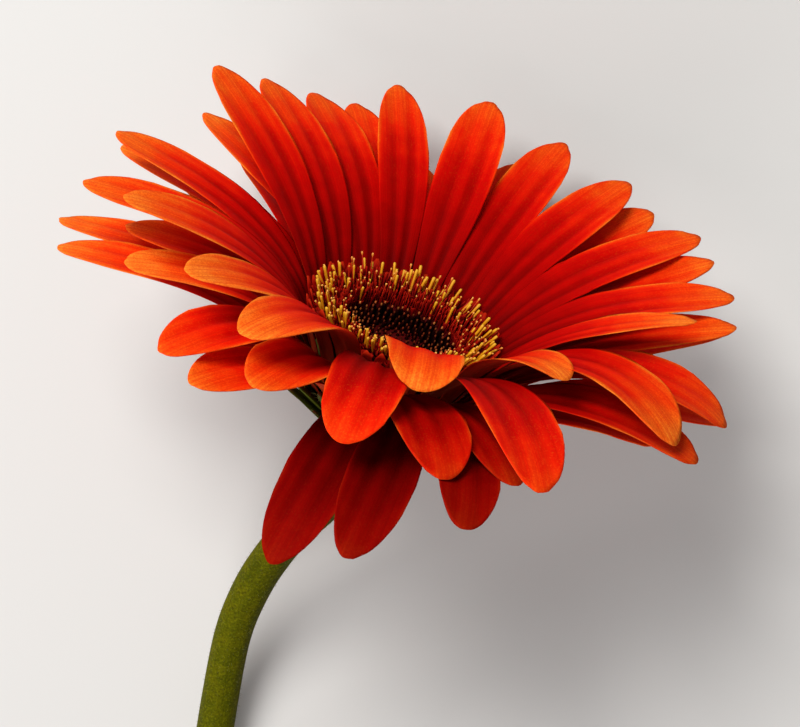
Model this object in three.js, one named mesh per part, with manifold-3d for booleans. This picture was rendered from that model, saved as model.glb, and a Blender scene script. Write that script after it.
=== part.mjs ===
// A cut gerbera lying on a flat surface: one flower head on a bare, leafless stem.
// Millimetres, +Z up. The stem runs towards -Y and the head lies at the +Y end, resting on the
// tips of its lowest ray petals, with its face turned up a little from the surface.
// The origin is the middle of the bottom of the whole flower's bounding box.
import * as THREE from "three";
import { LoftGeometry } from "three/addons/geometries/LoftGeometry.js";
import { mergeVertices } from "three/addons/utils/BufferGeometryUtils.js";
import Module from "manifold-3d";

const wasm = await Module();
wasm.setup();

// ---- driving dimensions, in millimetres and degrees ----

const FACE_TILT = 27; // how far the face's axis points up from the surface
const FACE_LEAN = 20; // how far the face's axis swings from +Y towards +X
const FACE_HEIGHT = 48; // the face's centre above the surface

const PETAL_REACH = 50; // length of a full ray petal along its middle
const PETAL_WIDTH = 10.6; // width of a full ray petal
const PETAL_THICKNESS = 0.8;
const PETAL_CUP = 0.12; // how far a petal's edges stand above its middle, as a share of half its width
const CLAW_WIDTH = 2.9; // width of a petal where it leaves the receptacle
const SHOULDER_WIDTH = 5.7; // its width a fifth of the way out, where it parts from its neighbours
const CLEARANCE = 0.3; // gap between pieces that touch

const RECEPTACLE_RADIUS = 12.6;
const RECEPTACLE_DEPTH = 15;
const EYE_RADIUS = 8.8; // the disc of closed florets in the middle
const EYE_HEIGHT = 5.6;
const CROWN_HEIGHT = 9.4; // the open florets that stand round the eye
const CROWN_FLARE = 4.15; // how far that ring leans out between its foot and its top
const COLLAR_WALL = 0.7; // the small strap florets round the crown
const BRACT_WALL = 0.8;

const NECK_RADIUS = 4.3; // the stem where it widens into the receptacle
const STEM_RADIUS = 3.35; // the stem below the neck
const CUT_RADIUS = 3.9; // the stem at its cut end
const STEM_LENGTH = 290;

// ---- colours ----

const material = (color, roughness) => new THREE.MeshStandardMaterial({ color, roughness, metalness: 0 });
const petalInner = material(0xd8200c, 0.55);
const petalMiddle = material(0xc81a0a, 0.55);
const petalOuter = material(0xb01408, 0.6);
const eyeDark = material(0x1c0604, 0.8);
const crownGold = material(0xc8860e, 0.6);
const collarRed = material(0x7e0d08, 0.65);
const receptacleGreen = material(0x8a8f3c, 0.75);
const bractGreen = material(0x5c6424, 0.8);
const stemGreen = material(0x66681a, 0.75);

const rad = THREE.MathUtils.degToRad;
const { lerp, smoothstep } = THREE.MathUtils;

// ---- the head's own frame: +Z is the face's axis, +X its right side, +Y its lowest side ----

const head = new THREE.Group();
head.rotation.set(rad(FACE_TILT - 90), 0, rad(-FACE_LEAN), "ZXY");
const solids = []; // the solids that a petal has to stay clear of

function solidOf(geometry) {
  const bare = new THREE.BufferGeometry();
  bare.setAttribute("position", geometry.getAttribute("position"));
  bare.setIndex(geometry.getIndex());
  const merged = mergeVertices(bare, 1e-4);
  const mesh = new wasm.Mesh({
    numProp: 3,
    vertProperties: merged.attributes.position.array,
    triVerts: new Uint32Array(merged.index.array),
  });
  return new wasm.Manifold(mesh);
}

function add(parent, name, geometry, finish) {
  const mesh = new THREE.Mesh(geometry, finish);
  mesh.name = name;
  parent.add(mesh);
  return mesh;
}

function addToHead(name, geometry, finish) {
  solids.push({ solid: solidOf(geometry), box: boxOf(geometry) });
  return add(head, name, geometry, finish);
}

function boxOf(geometry) {
  geometry.computeBoundingBox();
  return geometry.boundingBox;
}

// A profile of [radius, height] pairs turned round the face's axis.
function turned(profile, segments) {
  const points = profile.map(([radius, height]) => new THREE.Vector2(radius, height));
  return new THREE.LatheGeometry(points, segments).rotateX(Math.PI / 2);
}

// ---- receptacle, eye and crown ----

const receptacleProfile = [
  [0, -RECEPTACLE_DEPTH],
  [NECK_RADIUS, -RECEPTACLE_DEPTH],
  [0.5 * RECEPTACLE_RADIUS, -0.86 * RECEPTACLE_DEPTH],
  [0.74 * RECEPTACLE_RADIUS, -0.66 * RECEPTACLE_DEPTH],
  [0.92 * RECEPTACLE_RADIUS, -0.42 * RECEPTACLE_DEPTH],
  [0.985 * RECEPTACLE_RADIUS, -0.22 * RECEPTACLE_DEPTH],
  [RECEPTACLE_RADIUS, -0.07 * RECEPTACLE_DEPTH],
  [0.98 * RECEPTACLE_RADIUS, 0],
  [0, 0],
];
addToHead("receptacle", turned(receptacleProfile, 30), receptacleGreen);

const eyeProfile = [
  [0, CLEARANCE],
  [EYE_RADIUS, CLEARANCE],
  [EYE_RADIUS + 0.3, EYE_HEIGHT],
  [0.6 * EYE_RADIUS, EYE_HEIGHT - 0.5],
  [0, EYE_HEIGHT - 0.2],
];
addToHead("closed_disc_florets", turned(eyeProfile, 30), eyeDark);

const crownBase = EYE_RADIUS + 2 * CLEARANCE;
const crownFoot = RECEPTACLE_RADIUS - COLLAR_WALL - 1.5 * CLEARANCE; // leaves the rim to the collar
const crownTop = crownFoot + CROWN_FLARE;
const crownProfile = [
  [crownBase, CLEARANCE],
  [crownFoot, CLEARANCE],
  [crownTop, CROWN_HEIGHT],
  [crownTop - 3.4, CROWN_HEIGHT - 1.2],
  [crownBase + 0.5, EYE_HEIGHT + 0.2],
  [crownBase, CLEARANCE],
];
addToHead("open_disc_florets", turned(crownProfile, 36), crownGold);

// A ring of pointed straps fused at the foot. Inner and outer are [radius, height] from foot to tip;
// between two straps the ring reaches only the share `notch` of the way up.
function strapRing(count, inner, wall, notch, stepsPerStrap = 4) {
  const along = (share) => {
    const place = share * (inner.length - 1);
    const i = Math.min(Math.floor(place), inner.length - 2);
    const f = place - i;
    return [lerp(inner[i][0], inner[i + 1][0], f), lerp(inner[i][1], inner[i + 1][1], f)];
  };
  const outwards = (share) => {
    const [r0, z0] = along(Math.max(0, share - 0.05));
    const [r1, z1] = along(Math.min(1, share + 0.05));
    const length = Math.hypot(r1 - r0, z1 - z0);
    return [(z1 - z0) / length, -(r1 - r0) / length];
  };
  const sections = [];
  const steps = count * stepsPerStrap;
  for (let s = 0; s <= steps; s++) {
    const turn = ((s % steps) / steps) * 2 * Math.PI;
    const peak = 1 - Math.abs(((s / stepsPerStrap) % 1) * 2 - 1);
    const top = lerp(notch, 1, peak);
    const innerShares = [0, 0.5 * top, top];
    const section = innerShares.map(along);
    for (const share of [0.96 * top, 0.5 * top, 0]) {
      const [r, z] = along(share);
      const [dr, dz] = outwards(share);
      section.push([r + wall * dr, z + wall * dz]);
    }
    sections.push(section.map(([r, z]) => new THREE.Vector3(r * Math.cos(turn), r * Math.sin(turn), z)));
  }
  return new LoftGeometry(sections);
}

// The collar stands clear of the crown's outer side all the way up, and its wall clear of the receptacle.
const crownSlope = Math.atan2(CROWN_HEIGHT - CLEARANCE, CROWN_FLARE);
const collarFoot = CLEARANCE + COLLAR_WALL * Math.cos(crownSlope);
const collarInner = [collarFoot, 0.5 * CROWN_HEIGHT, CROWN_HEIGHT].map((height) => [
  crownFoot + (height - CLEARANCE) / Math.tan(crownSlope) + 1.5 * CLEARANCE,
  height,
]);
addToHead("strap_florets", strapRing(26, collarInner, COLLAR_WALL, 0.8, 2), collarRed);

// ---- involucre: two rows of green bracts that hold the petals from below ----

const bractInner = [
  [0.84 * RECEPTACLE_RADIUS, -0.62 * RECEPTACLE_DEPTH],
  [1.12 * RECEPTACLE_RADIUS, -0.5 * RECEPTACLE_DEPTH],
  [1.3 * RECEPTACLE_RADIUS, -0.34 * RECEPTACLE_DEPTH],
  [1.42 * RECEPTACLE_RADIUS, -0.16 * RECEPTACLE_DEPTH],
];
const bractOuter = [
  [0.62 * RECEPTACLE_RADIUS, -0.86 * RECEPTACLE_DEPTH],
  [0.95 * RECEPTACLE_RADIUS, -0.74 * RECEPTACLE_DEPTH],
  [1.24 * RECEPTACLE_RADIUS, -0.58 * RECEPTACLE_DEPTH],
  [1.42 * RECEPTACLE_RADIUS, -0.4 * RECEPTACLE_DEPTH],
];
addToHead("bracts_upper", strapRing(16, bractInner, BRACT_WALL, 0.45), bractGreen);
addToHead("bracts_lower", strapRing(14, bractOuter, BRACT_WALL, 0.45), bractGreen);

// ---- ray petals ----
// The feet of a whorl are evenly spaced round the receptacle's side, from the bearing `turn` on. A bearing is
// counted round the face from its right side towards its lowest side. A foot's slope over the face's plane,
// `foot`, goes from the bracts' in the outer whorl to the crown's in the inner one. `at` is the bearing of the petal's tip,
// and `rise` is the slope of its middle line over the face's plane half way along and at the tip. `sway` bends
// the petal sideways. A petal that rises beside the crown takes its slope from the crown's side, and one with
// `beside` keeps that slope up to so many millimetres from its foot when it is lifted. `reach` and `width` are shares of a full petal. A petal with `over` is laid after its
// neighbours in the whorl, so it lies on them.

const BRACT_LEAN = 48; // the slope of the outer whorl's feet, just inside the upper bracts
const steepest = THREE.MathUtils.radToDeg(crownSlope);
const OUTER = {
  name: "outer",
  finish: petalOuter,
  radius: RECEPTACLE_RADIUS + CLEARANCE,
  height: -0.36 * RECEPTACLE_DEPTH,
  foot: BRACT_LEAN,
  turn: 10,
};
const MIDDLE = {
  name: "middle",
  finish: petalMiddle,
  radius: RECEPTACLE_RADIUS + 2 * CLEARANCE,
  height: -0.207 * RECEPTACLE_DEPTH,
  foot: lerp(BRACT_LEAN, steepest, 0.45),
  turn: 8,
};
const INNER = {
  name: "inner",
  finish: petalInner,
  radius: RECEPTACLE_RADIUS + PETAL_THICKNESS,
  height: -0.04 * RECEPTACLE_DEPTH,
  foot: steepest,
  turn: 14,
};

const outerPetals = [
  { at: 22, rise: [25, 18] },
  { at: 43, rise: [22, 14], reach: 0.96 },
  { at: 64, rise: [1, -9] },
  { at: 82, rise: [12, 2] },
  { at: 98, rise: [11, 3] },
  { at: 114, rise: [4, -6] },
  { at: 128, rise: [8, -2] },
  { at: 150, rise: [12, 4], reach: 0.95 },
  { at: 174, rise: [0, -8] },
  { at: 189, rise: [6, -8], reach: 0.95 },
  { at: 218, rise: [14, 2], reach: 0.6 },
  { at: 240, rise: [16, -4], reach: 0.86 },
  { at: 264, rise: [-12, -42], reach: 0.96, sway: -5 },
  { at: 274, rise: [-9, -36], reach: 0.92, sway: -4 },
  { at: 290, rise: [10, -18], reach: 0.92, sway: -5 },
  { at: 341, rise: [24, -4], reach: 0.78 },
  { at: 0, rise: [18, 0], reach: 0.93 },
];
const middlePetals = [
  { at: 10, rise: [30, 22], reach: 0.95 },
  { at: 29, rise: [33, 26], reach: 0.98 },
  { at: 51, rise: [28, 22] },
  { at: 78, rise: [22, 12] },
  { at: 113, rise: [24, 12] },
  { at: 144, rise: [18, 9], reach: 0.98 },
  { at: 160, rise: [10, 0] },
  { at: 180, rise: [9, -4], reach: 0.76 },
  { at: 207, rise: [18, -2], reach: 0.8 },
  { at: 233, rise: [15, -16], reach: 0.9 },
  { at: 250, rise: [20, -6], reach: 0.84, width: 1.1 },
  { at: 288, rise: [15, -24], reach: 0.77, width: 1.2 },
  { at: 303, rise: [8, -24], reach: 0.72 },
  { at: 338, rise: [18, -14], reach: 0.96 },
  { at: 351, rise: [25, -32], reach: 0.99, width: 1.1 },
];
const innerPetals = [
  { at: 17, rise: [29, 16], reach: 0.96, width: 0.95 },
  { at: 38, rise: [28, 15], width: 0.95 },
  { at: 58, rise: [26, 15], width: 0.9, over: 1 },
  { at: 73, rise: [29, 18], width: 0.92 },
  { at: 89, rise: [31.5, 18], reach: 0.97, width: 0.96, over: 1 },
  { at: 107, rise: [30, 18], reach: 0.98, width: 0.88 },
  { at: 121, rise: [22, 7], reach: 0.98, sway: 4 },
  { at: 133, rise: [26, 11], reach: 0.98, sway: 3 },
  { at: 147, rise: [30, 18] },
  { at: 169, rise: [15, 5], reach: 0.98 },
  { at: 187, rise: [13, -3], reach: 0.97 },
  { at: 205, rise: [27, 4], reach: 0.93 },
  { at: 227, rise: [27, 1], reach: 0.85 },
  { at: 245, rise: [27, -14], reach: 0.88 },
  { at: 267, rise: [10, -42], reach: 0.78, width: 1.04 },
  { at: 279, rise: [steepest - 21, -56], reach: 0.6, width: 1.1, over: 1, beside: CROWN_HEIGHT },
  { at: 300, rise: [15, -28], reach: 0.98, width: 1.2 },
  { at: 320, rise: [steepest - 19, -10], reach: 0.62, width: 0.95, over: 1 },
  { at: 333, rise: [24, -38], reach: 0.95, sway: -4 },
  { at: 354, rise: [steepest - 27, 24], reach: 0.84, width: 0.85, over: 1 },
];

const STATIONS = [0, 0.08, 0.2, 0.34, 0.5, 0.66, 0.8, 0.91, 0.98, 1];
const SECTION_POINTS = 8;
const STEPS = 60; // steps of the walk along a petal's middle line
const SHOULDER_AT = 0.2;
const FULLEST = 0.66; // where a petal is widest, as a share of its length

// Half the width at share t of the length: a claw that swells through the shoulder, then a round tip.
function halfWidth(t, width) {
  const shoulder = (SHOULDER_WIDTH - CLAW_WIDTH) / (width - CLAW_WIDTH);
  const grown = 0.5 - Math.sin(Math.asin(1 - 2 * shoulder) / 3); // where a smooth step reaches the shoulder
  const start = (SHOULDER_AT - grown * FULLEST) / (1 - grown);
  const swell = lerp(CLAW_WIDTH, width, smoothstep(t, start, FULLEST));
  const past = Math.max(0, (t - FULLEST) / (1 - FULLEST));
  return 0.5 * swell * Math.sqrt(1 - 0.985 * past ** 2.4);
}

// Slope at share t, through the foot's, the middle's and the tip's slopes.
function slopeAt(t, foot, middle, tip) {
  return foot * (1 - t) * (1 - 2 * t) + 4 * middle * t * (1 - t) + tip * t * (2 * t - 1);
}

const bearing = (degrees) => new THREE.Vector3(Math.cos(rad(degrees)), Math.sin(rad(degrees)), 0);

// The petal's cross-sections, made larger all round by `extra`, with the whole petal lifted by `lift` degrees.
function petalSections(petal, whorl, footAt, lift, extra) {
  const reach = PETAL_REACH * (petal.reach ?? 1);
  const width = PETAL_WIDTH * (petal.width ?? 1);
  const [middle, tip] = petal.rise;
  const axis = new THREE.Vector3(0, 0, 1);
  const radial = bearing(footAt);
  const lateral = new THREE.Vector3().crossVectors(axis, radial);
  const point = radial.clone().multiplyScalar(whorl.radius);
  const towardsTip = bearing(petal.at).multiplyScalar(whorl.radius + 0.85 * reach).sub(point);
  const swing = Math.atan2(towardsTip.dot(lateral), towardsTip.dot(radial));
  point.addScaledVector(axis, whorl.height);
  const liftFrom = (petal.beside ?? 0) / reach;
  const frames = [];
  for (let s = 0; s <= STEPS; s++) {
    const t = s / STEPS;
    const slope = rad(slopeAt(t, whorl.foot, middle, tip) + lift * smoothstep(t, liftFrom, liftFrom + 0.25));
    const heading = 1.08 * swing * smoothstep(t, 0, 0.3) + rad((petal.sway ?? 0) * (2 * t - 0.9));
    const level = radial.clone().multiplyScalar(Math.cos(heading)).addScaledVector(lateral, Math.sin(heading));
    const forward = level.clone().multiplyScalar(Math.cos(slope)).addScaledVector(axis, Math.sin(slope));
    const side = new THREE.Vector3().crossVectors(axis, level);
    const up = new THREE.Vector3().crossVectors(forward, side);
    frames.push({ point: point.clone(), side, up });
    point.addScaledVector(forward, reach / STEPS);
  }
  return STATIONS.map((t) => {
    const frame = frames[Math.round(t * STEPS)];
    const half = halfWidth(t, width) + extra;
    const cup = PETAL_CUP * half * smoothstep(t, 0, 0.3);
    const thick = 0.5 * PETAL_THICKNESS * (1 - 0.35 * t) + extra;
    const section = [];
    for (let j = 0; j < SECTION_POINTS; j++) {
      const a = (j / SECTION_POINTS) * 2 * Math.PI;
      const across = Math.cos(a);
      const p = frame.point.clone().addScaledVector(frame.side, half * across);
      section.push(p.addScaledVector(frame.up, cup * across ** 2 + thick * Math.sin(a)));
    }
    return section;
  });
}

function petalGeometry(petal, whorl, footAt, lift, extra = 0) {
  const sections = petalSections(petal, whorl, footAt, lift, extra);
  return new LoftGeometry(sections, { capStart: true, capEnd: true });
}

// Petals are laid from the outside in, and each one is lifted until it clears the surface and what it lies on.
const LIFT_STEP = 0.5;
const MOST_LIFTS = 80;
const surfaceUp = new THREE.Vector3(0, 0, 1).applyQuaternion(head.quaternion.clone().invert());

function reachesSurface(geometry) {
  const positions = geometry.getAttribute("position");
  const point = new THREE.Vector3();
  for (let i = 0; i < positions.count; i++) {
    if (point.fromBufferAttribute(positions, i).dot(surfaceUp) < -FACE_HEIGHT) return true;
  }
  return false;
}

function isBlocked(petal, whorl, footAt, lift) {
  if (reachesSurface(petalGeometry(petal, whorl, footAt, lift))) return true;
  const guard = petalGeometry(petal, whorl, footAt, lift, 0.5 * CLEARANCE);
  const box = boxOf(guard);
  const near = solids.filter((other) => other.box.intersectsBox(box));
  if (near.length === 0) return false;
  const solid = solidOf(guard);
  return near.some((other) => solid.intersect(other.solid).volume() > 0);
}

function layPetals(petals, whorl) {
  const feet = petals.map((petal, i) => ({ petal, i, footAt: whorl.turn + (i * 360) / petals.length }));
  feet.sort((a, b) => (a.petal.over ?? 0) - (b.petal.over ?? 0) || a.i - b.i);
  for (const { petal, i, footAt } of feet) {
    let lift = 0;
    for (let tries = 0; tries < MOST_LIFTS && isBlocked(petal, whorl, footAt, lift); tries++) {
      lift += LIFT_STEP;
    }
    const name = `ray_${whorl.name}_${String(i + 1).padStart(2, "0")}`;
    addToHead(name, petalGeometry(petal, whorl, footAt, lift), whorl.finish);
  }
}

layPetals(outerPetals, OUTER);
layPetals(middlePetals, MIDDLE);
layPetals(innerPetals, INNER);

head.position.z = FACE_HEIGHT;
head.updateMatrixWorld(true);

// ---- stem: from the neck it bends down to the surface and lies along it to its cut end ----
// Each bend is [right, back] from the face's centre, and the share of the neck's height that is left.

const STEM_BENDS = [
  { right: -19.8, back: -33.1, left: 0.55 },
  { right: -26.9, back: -45.5, left: 0.34 },
  { right: -31.4, back: -65.3, left: 0.13 },
  { right: -36, back: -95, left: 0 },
];
const STEM_HEADING = new THREE.Vector3(-0.05, -1, 0).normalize(); // the lying stretch's direction
const STEM_SIDES = 12;
const STEM_SECTIONS = 30;

const faceAxis = new THREE.Vector3(0, 0, 1).applyQuaternion(head.quaternion);
const neck = head.position.clone().addScaledVector(faceAxis, -(RECEPTACLE_DEPTH + CLEARANCE));
const stemPoints = [neck, neck.clone().addScaledVector(faceAxis, -8)];
for (const bend of STEM_BENDS) {
  const height = lerp(0.9 * STEM_RADIUS, neck.z, bend.left);
  stemPoints.push(new THREE.Vector3(head.position.x + bend.right, head.position.y + bend.back, height));
}
const bentLength = new THREE.CatmullRomCurve3(stemPoints).getLength();
const lying = STEM_LENGTH - bentLength;
const lastBend = stemPoints.at(-1);
for (const share of [0.5, 1]) {
  const end = lastBend.clone().addScaledVector(STEM_HEADING, share * lying);
  stemPoints.push(end);
}
const stemLine = new THREE.CatmullRomCurve3(stemPoints);

function stemRadius(t) {
  const flare = (NECK_RADIUS - STEM_RADIUS) * (1 - smoothstep(t, 0, 0.05));
  return lerp(STEM_RADIUS, CUT_RADIUS, smoothstep(t, 0.3, 1)) + flare;
}

const stemSections = [];
for (let s = 0; s <= STEM_SECTIONS; s++) {
  const t = (s / STEM_SECTIONS) ** 1.25;
  const centre = stemLine.getPointAt(t);
  centre.z = Math.max(centre.z, stemRadius(t) * Math.cos(Math.PI / STEM_SIDES));
  const along = s === 0 ? faceAxis.clone().negate() : stemLine.getTangentAt(t);
  const side = new THREE.Vector3(0, 0, 1).cross(along).normalize();
  const up = new THREE.Vector3().crossVectors(along, side);
  const section = [];
  for (let j = 0; j < STEM_SIDES; j++) {
    const a = ((j + 0.5) / STEM_SIDES) * 2 * Math.PI;
    const p = centre.clone().addScaledVector(side, stemRadius(t) * Math.cos(a));
    section.push(p.addScaledVector(up, stemRadius(t) * Math.sin(a)));
  }
  stemSections.push(section);
}
const flower = new THREE.Group();
flower.add(head);
add(flower, "stem", new LoftGeometry(stemSections, { capStart: true, capEnd: true }), stemGreen);

// ---- the whole flower's bottom middle is the origin ----

const whole = new THREE.Box3().setFromObject(flower, true);
const middle = whole.getCenter(new THREE.Vector3());
flower.position.set(-middle.x, -middle.y, -whole.min.z);

export default flower;
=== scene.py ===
"""A cut gerbera lying on a pale floor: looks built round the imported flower.

The head's own frame comes first, then the camera and lights, the materials, the petals, the
florets of the disc, the green bracts, the stem and the floor. Lengths are metres. A flower is
measured in millimetres, so the small sizes are written as so many millimetres times MM, and
places in the head are plain millimetres.
"""
import math
import random

import bmesh
import bpy
from mathutils import Matrix, Vector


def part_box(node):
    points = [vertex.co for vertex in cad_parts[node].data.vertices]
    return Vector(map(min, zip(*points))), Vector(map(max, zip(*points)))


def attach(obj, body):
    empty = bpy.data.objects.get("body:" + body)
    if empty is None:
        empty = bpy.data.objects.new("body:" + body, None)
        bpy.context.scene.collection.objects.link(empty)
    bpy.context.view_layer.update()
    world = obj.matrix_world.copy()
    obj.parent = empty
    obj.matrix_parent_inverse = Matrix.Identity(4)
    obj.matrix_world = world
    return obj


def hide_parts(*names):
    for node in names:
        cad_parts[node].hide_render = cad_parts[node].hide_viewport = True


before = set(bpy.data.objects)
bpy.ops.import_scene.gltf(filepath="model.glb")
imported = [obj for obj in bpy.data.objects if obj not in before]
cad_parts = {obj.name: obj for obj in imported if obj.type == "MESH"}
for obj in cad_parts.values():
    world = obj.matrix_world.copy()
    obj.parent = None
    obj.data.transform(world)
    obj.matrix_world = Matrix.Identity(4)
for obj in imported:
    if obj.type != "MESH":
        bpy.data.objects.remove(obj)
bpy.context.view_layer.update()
MM = 0.001
WELD = 0.002 * MM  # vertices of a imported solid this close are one
GOLDEN_ANGLE = math.pi * (3 - math.sqrt(5))
GOLDEN_SHARE = 0.6180339  # of a turn, which spreads any number of pieces evenly round a circle
UP = Vector((0, 0, 1))


def lerp(a, b, share):
    return a + (b - a) * share


def smoothstep(low, high, value):
    share = min(1.0, max(0.0, (value - low) / (high - low)))
    return share * share * (3 - 2 * share)


def bell(value, middle, width):
    return math.exp(-(((value - middle) / width) ** 2))


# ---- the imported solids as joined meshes, and as rings of points ----


def joined(node):
    """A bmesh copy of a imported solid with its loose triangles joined."""
    mesh = bmesh.new()
    mesh.from_mesh(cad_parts[node].data)
    bmesh.ops.remove_doubles(mesh, verts=mesh.verts, dist=WELD)
    return mesh


def rings_of(mesh, first, size):
    """The cross-sections of a lofted solid, walked from its first ring of vertices."""
    rings = [list(first)]
    seen = set(first)
    while True:
        following = []
        for vertex in rings[-1]:
            for edge in vertex.link_edges:
                other = edge.other_vert(vertex)
                if other not in seen:
                    seen.add(other)
                    following.append(other)
        if len(following) != size:
            break
        rings.append(following)
    return [[vertex.co.copy() for vertex in ring] for ring in rings]


def stations_of(points):
    """How far along a line of points each one lies, as a share of the whole."""
    lengths = [0.0]
    for a, b in zip(points, points[1:]):
        lengths.append(lengths[-1] + (b - a).length)
    return [length / lengths[-1] for length in lengths]


# ---- the head's own frame: z along the face's axis, y towards its lowest side ----

# the fans at the two ends of the receptacle meet in its poles: the one nearer the florets is its face
receptacle = joined("receptacle")
poles = sorted(receptacle.verts, key=lambda vertex: -len(vertex.link_edges))[:2]
crown_low, crown_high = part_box("open_disc_florets")
crown_middle = (crown_low + crown_high) / 2
poles.sort(key=lambda vertex: (vertex.co - crown_middle).length)
FACE = poles[0].co.copy()
AXIS = (poles[0].co - poles[1].co).normalized()
DEPTH = (poles[0].co - poles[1].co).length / MM
receptacle.free()
LOWEST = -(UP - AXIS * UP.dot(AXIS)).normalized()
RIGHT = LOWEST.cross(AXIS)
HEAD = Matrix((RIGHT, LOWEST, AXIS)).transposed().to_4x4()
HEAD.translation = FACE


def reach_from_axis(node):
    """How far from the head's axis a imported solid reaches, in millimetres."""
    offsets = [vertex.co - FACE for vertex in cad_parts[node].data.vertices]
    return max((offset - AXIS * offset.dot(AXIS)).length for offset in offsets) / MM


RIM = reach_from_axis("receptacle")  # where its side bulges most
EYE_REACH = reach_from_axis("closed_disc_florets")
CROWN_REACH = reach_from_axis("open_disc_florets")


def outwards(bearing):
    """The level direction in the head's frame at a bearing in radians."""
    return Vector((math.cos(bearing), math.sin(bearing), 0))


def in_head(radius, bearing, height):
    """A place in the head's frame, with its radius and height from the middle of the face."""
    return outwards(bearing) * radius + Vector((0, 0, height))


# ---- camera and lights ----

CAMERA_ASIDE = (1.64 * MM, -0.74 * MM)  # from straight above the middle of the face
CAMERA_HEIGHT = 0.42
LENS = 115.2
SENSOR = 36.0

camera_data = bpy.data.cameras.new("camera")
camera_data.lens = LENS
camera_data.sensor_width = SENSOR
camera_data.clip_start = 0.01
camera = bpy.data.objects.new("camera", camera_data)
bpy.context.scene.collection.objects.link(camera)
camera.location = FACE + Vector((*CAMERA_ASIDE, CAMERA_HEIGHT))
bpy.context.scene.camera = camera


def area_light(name, place, size, watts, color):
    """A round soft light at a place from the middle of the face, turned towards it."""
    data = bpy.data.lights.new(name, "AREA")
    data.shape = "DISK"
    data.size = size
    data.energy = watts
    data.color = color
    light = bpy.data.objects.new(name, data)
    bpy.context.scene.collection.objects.link(light)
    light.location = FACE + Vector(place)
    light.rotation_euler = (-Vector(place)).to_track_quat("-Z", "Y").to_euler()


area_light("key_light", (-0.24, 0.40, 0.74), 0.40, 8.0, (1.0, 0.98, 0.95))
area_light("fill_light", (-0.35, -0.55, 0.60), 0.60, 3.5, (1.0, 0.98, 0.97))
area_light("rim_light", (-0.70, 0.10, 0.25), 0.30, 1.6, (0.97, 0.99, 1.0))

world = bpy.data.worlds.new("studio")
world.use_nodes = True
background = world.node_tree.nodes["Background"]
background.inputs["Color"].default_value = (1.0, 1.0, 1.0, 1.0)
background.inputs["Strength"].default_value = 0.20
bpy.context.scene.world = world
bpy.context.scene.view_settings.view_transform = "Standard"


# ---- node helpers ----


def feed(tree, socket, value):
    """Links a socket to another one's output, or sets it to a number, a name or a colour."""
    if isinstance(value, tuple):
        socket.default_value = (*value, 1.0)
    elif isinstance(value, (int, float, str)):
        socket.default_value = value
    else:
        tree.links.new(value, socket)


def add_node(tree, kind, inputs, **settings):
    """A node with its settings made and then its inputs fed."""
    node = tree.nodes.new(kind)
    for name, value in settings.items():
        setattr(node, name, value)
    for socket, value in inputs.items():
        feed(tree, node.inputs[socket], value)
    return node


def group_tree(name, inputs, outputs):
    """A shader node group of numbers: its tree, what it is given and what it puts out."""
    tree = bpy.data.node_groups.new(name, "ShaderNodeTree")
    for socket_name, value in inputs.items():
        socket = tree.interface.new_socket(socket_name, in_out="INPUT", socket_type="NodeSocketFloat")
        socket.default_value = value
    for socket_name in outputs:
        tree.interface.new_socket(socket_name, in_out="OUTPUT", socket_type="NodeSocketFloat")
    return tree, tree.nodes.new("NodeGroupInput").outputs, tree.nodes.new("NodeGroupOutput").inputs


def math_node(tree, operation, first, second=0.0, clamp=False):
    inputs = {0: first, 1: second}
    return add_node(tree, "ShaderNodeMath", inputs, operation=operation, use_clamp=clamp).outputs[0]


def plus(tree, first, second):
    return math_node(tree, "ADD", first, second)


def times(tree, first, second):
    return math_node(tree, "MULTIPLY", first, second)


def swing(tree, value):
    """A pattern of 0 to 1 made to swing either side of 0."""
    return math_node(tree, "SUBTRACT", value, 0.5)


def mix_color(tree, factor, first, second, blend="MIX"):
    inputs = {0: factor, 6: first, 7: second}
    return add_node(tree, "ShaderNodeMix", inputs, data_type="RGBA", blend_type=blend).outputs[2]


def tinted(tree, color, tint):
    return mix_color(tree, 1.0, color, tint, "MULTIPLY")


def ramp_node(tree, source, stops):
    node = add_node(tree, "ShaderNodeValToRGB", {"Fac": source})
    ramp = node.color_ramp
    while len(ramp.elements) < len(stops):
        ramp.elements.new(0.5)
    for element, (place, color) in zip(ramp.elements, stops):
        element.position = place
        element.color = (*color, 1.0)
    return node.outputs["Color"]


def range_node(tree, source, low, high, to_low=0.0, to_high=1.0):
    inputs = {"Value": source, "From Min": low, "From Max": high, "To Min": to_low, "To Max": to_high}
    return add_node(tree, "ShaderNodeMapRange", inputs, interpolation_type="SMOOTHSTEP").outputs["Result"]


def noise_node(tree, vector, scale, detail, roughness=0.55):
    inputs = {"Vector": vector, "Scale": scale, "Detail": detail, "Roughness": roughness}
    return add_node(tree, "ShaderNodeTexNoise", inputs).outputs["Fac"]


def attribute_value(tree, name):
    return add_node(tree, "ShaderNodeAttribute", {}, attribute_name=name).outputs["Fac"]


def own_uv(tree):
    """How far across and how far along its own piece a point lies."""
    own = add_node(tree, "ShaderNodeUVMap", {}).outputs[0]
    split = add_node(tree, "ShaderNodeSeparateXYZ", {0: own})
    return split.outputs[0], split.outputs[1]


def vein_group():
    """Fine lines and broad bands that run along a petal, strap, bract or stem."""
    tree, given, result = group_tree("long_veins", {"Across": 26.0, "Along": 1.6}, ("Lines", "Broad"))
    across, along = own_uv(tree)
    stretched = {0: times(tree, across, given["Across"]), 1: times(tree, along, given["Along"])}
    place = add_node(tree, "ShaderNodeCombineXYZ", stretched).outputs[0]
    feed(tree, result["Lines"], noise_node(tree, place, 1.0, 2.0))
    feed(tree, result["Broad"], noise_node(tree, place, 0.24, 1.0))
    return tree


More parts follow.
